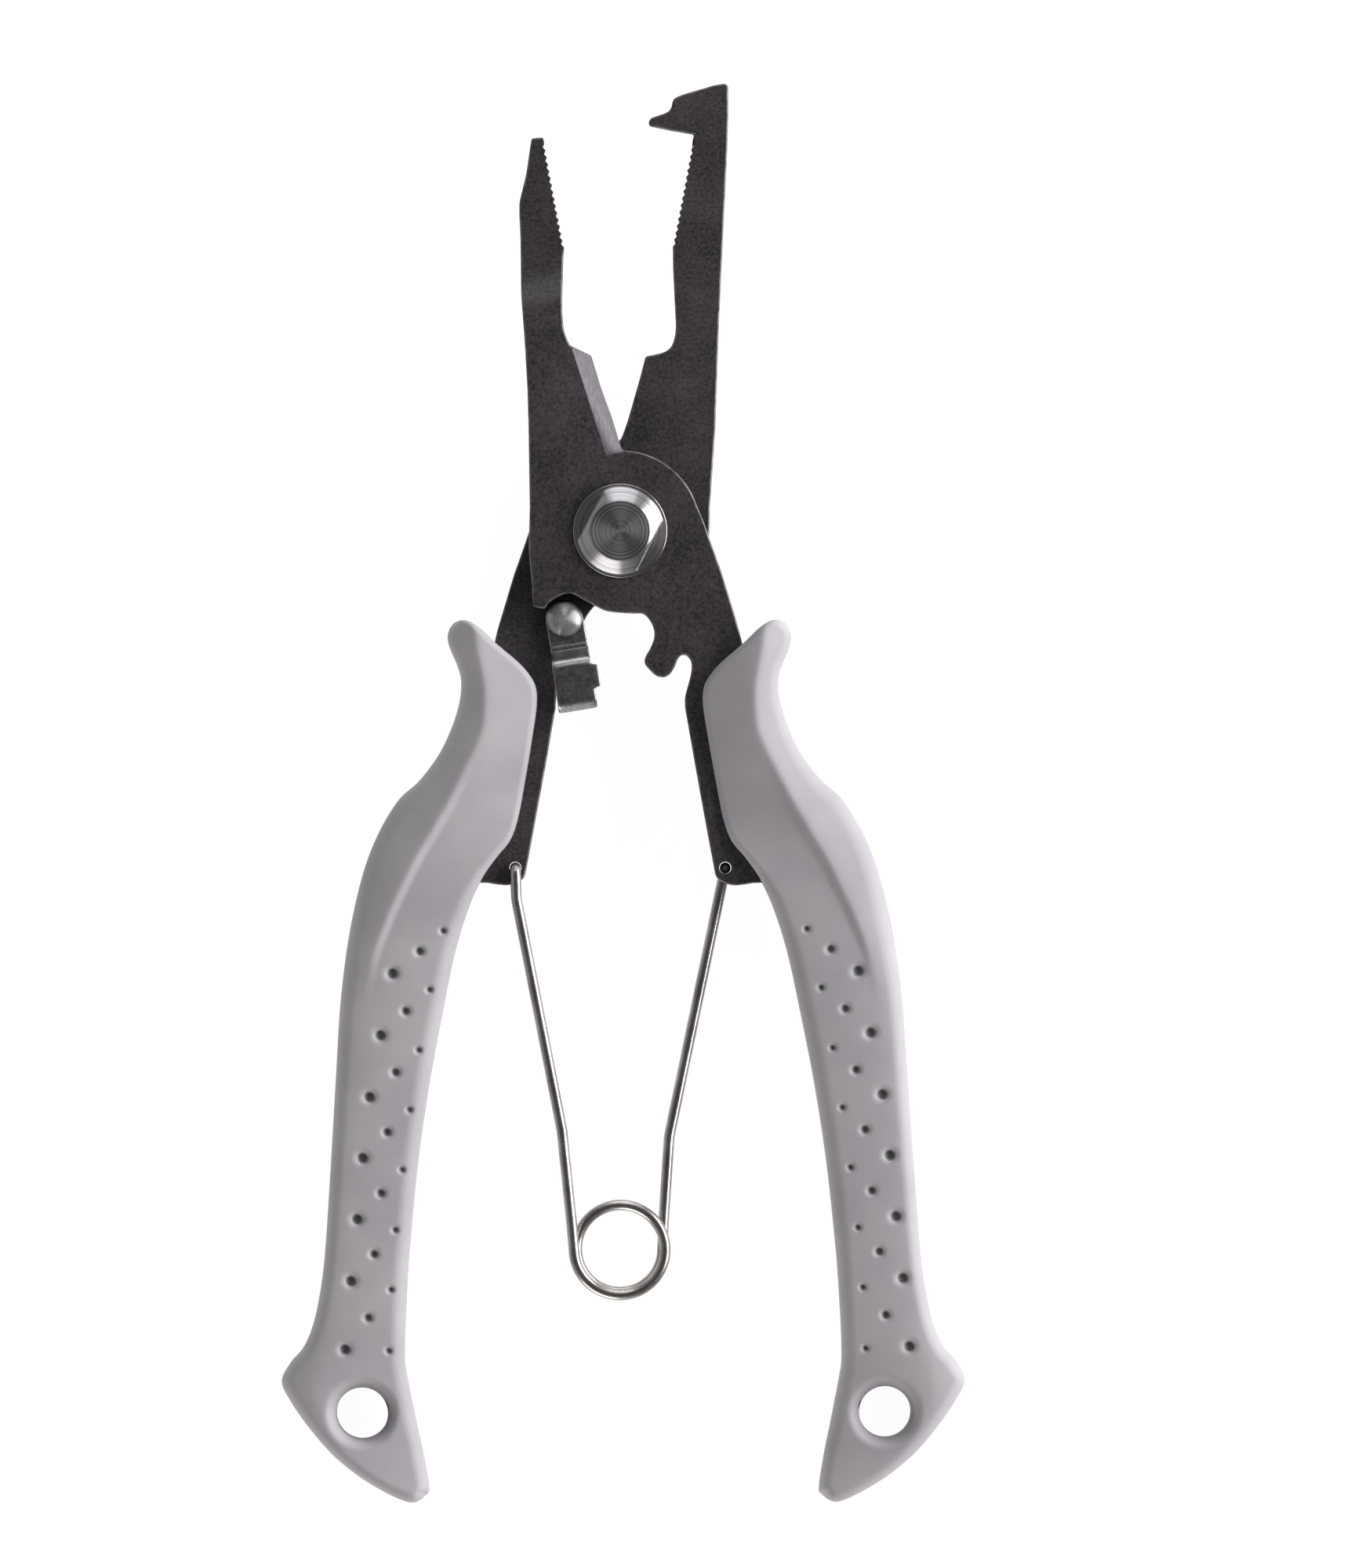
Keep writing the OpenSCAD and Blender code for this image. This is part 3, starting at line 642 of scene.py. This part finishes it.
def spring_wire(finishes):
    """The return spring: one wire, as a circle carried along its path.

    The path hooks through the left arm's eye, runs down its leg, takes one and a half
    turns of a helix that draws in slightly, and runs up to the right arm's eye. The circle
    keeps its level normal square to the heading, so it doesn't twist."""
    level, back = PLATE_FACE + WIRE_R + 0.06, PLATE_BACK + 0.35
    centre = COIL[:2] - PIVOT[:2]
    angle = np.radians(np.linspace(COIL_FROM, COIL_TO, 150))
    share = (angle - angle[0]) / (angle[-1] - angle[0])
    reach = COIL_R - COIL_IN * share
    coil = np.column_stack([centre[0] + reach * np.cos(angle), centre[1] + reach * np.sin(angle),
                            COIL_RISE - 2 * COIL_RISE * share])
    left = rounded_path([(-13.4, -43, -back), (-13.4, -43, level), (-13.25, -47, level),
                         (-7.45, -76.5, level), (-6.2, -88.5, 1.0), coil[0]],
                        [0.85, 5, 6, 12], 0.4)
    right = rounded_path([(13.4, -43, PLATE_BACK - 1.3), (13.4, -43, -level),
                          (6.25, -77.3, -level), (5.5, -88.5, -0.95), coil[-1]],
                         [0.85, 6, 12], 0.4)
    path = np.vstack([left[:-1], coil, right[-2::-1]])
    way = np.gradient(path, axis=0)
    way /= np.linalg.norm(way, axis=1)[:, None]
    flat = np.hypot(way[:, 0], way[:, 1])
    good = np.flatnonzero(flat > 0.3)
    heading = np.interp(np.arange(len(path)), good,
                        np.unwrap(np.arctan2(way[good, 1], way[good, 0])))
    level_out = np.column_stack([-np.sin(heading), np.cos(heading), np.zeros(len(path))])
    level_out -= (level_out * way).sum(1)[:, None] * way
    level_out /= np.linalg.norm(level_out, axis=1)[:, None]
    upright = np.cross(way, level_out)
    t = np.linspace(0, 2 * np.pi, WIRE_SIDES, endpoint=False)[:, None]
    tube = path[:, None] + WIRE_R * (np.cos(t) * level_out[:, None]
                                     + np.sin(t) * upright[:, None])
    tips = [tube[0] * 0.8 + path[0] * 0.2 - way[0] * 0.1,
            tube[-1] * 0.8 + path[-1] * 0.2 + way[-1] * 0.1]
    ends = [np.repeat(tip.mean(0)[None], WIRE_SIDES, 0) for tip in tips]
    rows = np.array([ends[0], tips[0], *tube, tips[1], ends[1]])
    made = piece("spring_wire", rows.reshape(-1, 3) + PIVOT,
                 grid_faces(len(rows), WIRE_SIDES, ring=True), None, finishes,
                 ["spring_left_leg", "spring_coil", "spring_right_leg"], sharp=60)
    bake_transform(made)


# ---------------------------------------------------------------- studio
def lamp(name, place, size, power, colour=(1, 1, 1)):
    """A soft rectangular light that points at the middle; place and size are in metres."""
    light = bpy.data.lights.new(name, "AREA")
    light.shape, light.size, light.size_y = "RECTANGLE", *size
    light.energy, light.color = power, colour
    made = bpy.data.objects.new(name, light)
    bpy.context.scene.collection.objects.link(made)
    made.location = place
    made.rotation_euler = (-Vector(place)).to_track_quat("-Z", "Y").to_euler()
    made.visible_camera = False


def studio():
    """A lit white table, a dim ceiling over brighter walls, and soft boxes at the sides."""
    scene = bpy.context.scene
    world = bpy.data.worlds.new("studio_room")
    scene.world = world
    world.use_nodes = True
    tree = world.node_tree
    tree.nodes.clear()
    way = add(tree, "ShaderNodeTexCoord").outputs["Generated"]
    up = add(tree, "ShaderNodeSeparateXYZ", {"Vector": way}).outputs["Z"]
    ramp = add(tree, "ShaderNodeValToRGB", {"Fac": up})
    stops = [(0.0, 0.85), (0.15, 0.75), (0.4, 0.4), (0.75, 0.2), (0.93, 0.1), (1.0, 0.08)]
    while len(ramp.color_ramp.elements) < len(stops):
        ramp.color_ramp.elements.new(0.5)
    for element, (place, value) in zip(ramp.color_ramp.elements, stops):
        element.position, element.color = place, (value, value, value, 1)
    # a brown door stands to the right, towards the near end of the table
    side = add(tree, "ShaderNodeVectorMath", {0: way, 1: (0.75, -0.66, 0)},
               operation="DOT_PRODUCT")
    door = add(tree, "ShaderNodeMapRange", {"Value": side.outputs["Value"], "From Min": 0.8,
                                            "From Max": 0.96})
    room = add(tree, "ShaderNodeMix", {"Factor": door.outputs[0], "A": ramp.outputs[0],
                                       "B": (0.2, 0.16, 0.14, 1)}, data_type="RGBA")
    air = add(tree, "ShaderNodeBackground", {"Color": room.outputs[2], "Strength": 1.04})
    add(tree, "ShaderNodeOutputWorld", {"Surface": air.outputs[0]})
    lamp("key_softbox", (0.8, 0.17, 0.3), (1.0, 0.6), 14.9)
    lamp("far_softbox", (0.05, 0.8, 0.2), (0.6, 0.3), 1.7)
    lamp("loft_softbox", (0.0, 0.62, 0.66), (0.35, 0.14), 0.6)
    lamp("near_card", (-0.3, -0.75, 0.18), (0.6, 0.28), 3.2, (1, 0.97, 0.92))

    half = 8.0               # metres
    mesh = bpy.data.meshes.new("light_table")
    mesh.from_pydata([(-half, -half, 0), (half, -half, 0), (half, half, 0), (-half, half, 0)],
                     [], [(0, 1, 2, 3)])
    table = bpy.data.objects.new("light_table", mesh)
    scene.collection.objects.link(table)
    glow = bpy.data.materials.new("backlit_opal_acrylic")
    glow.use_nodes = True
    tree = glow.node_tree
    tree.nodes.clear()
    skin = add(tree, "ShaderNodeBsdfPrincipled", {
        "Base Color": linear("#5e5e5e"), "Roughness": 0.7, "Emission Color": (1, 1, 1, 1),
        "Emission Strength": 0.95})
    add(tree, "ShaderNodeOutputMaterial", {"Surface": skin.outputs[0]})
    mesh.materials.append(glow)

    distance, height, sensor = 3.0, 0.2, 36.0    # metres, metres seen, and mm
    lens = bpy.data.cameras.new("camera")
    lens.sensor_fit, lens.sensor_width = "AUTO", sensor
    lens.lens = sensor * distance / height
    lens.clip_end = 20.0
    camera = bpy.data.objects.new("camera", lens)
    # over the middle of the frame; the distance counts from the plates, 9 mm up
    camera.location = (6.65 * MM, 1.12 * MM, distance + 0.009)
    scene.collection.objects.link(camera)
    scene.camera = camera
    scene.view_settings.view_transform = "Standard"


# ---------------------------------------------------------------- everything together
studio()
coat = [coated_steel(), rubbed_edge(), ground_steel()]
arm("front_arm", "front_half", FRONT, coat)
arm("rear_arm", "rear_half", REAR, coat)

head_steel = turned_steel("turned_stainless_head", PIVOT, 0.22, "#b9b7ba", "#807d82", 0.33)
plain_steel = turned_steel("turned_stainless_fittings", PIVOT, 0.25, "#aeabad", "#8d8a8c",
                           0.34)
rivet_steel = turned_steel("tumbled_rivet", RIVET, 0.4, "#b4b1b3", "#928f91", 0.36, 0.7)


def crisp(edge):
    """Rule for turned parts: every edge of 25 degrees or more is slightly rounded."""
    return 1 if math.degrees(edge.calc_face_angle(0)) > 25 else 0


for part, skin, width in (("pivot_bolt", head_steel, 0.12), ("pivot_nut", plain_steel, 0.15),
                          ("pivot_washer", plain_steel, 0.08), ("latch_rivet", rivet_steel, 0.1),
                          ("latch_washer", rivet_steel, 0.05)):
    softened(part, "rear_half", [skin], width, crisp)

rubber = [grip_elastomer()]
grip("right_grip_moulding", "right_grip", "front_half", FRONT, rubber, 0.0)
grip("left_grip_moulding", "left_grip", "rear_half", REAR, rubber, 1.05)
latch([sheet_steel()])
spring_wire([spring_steel()])
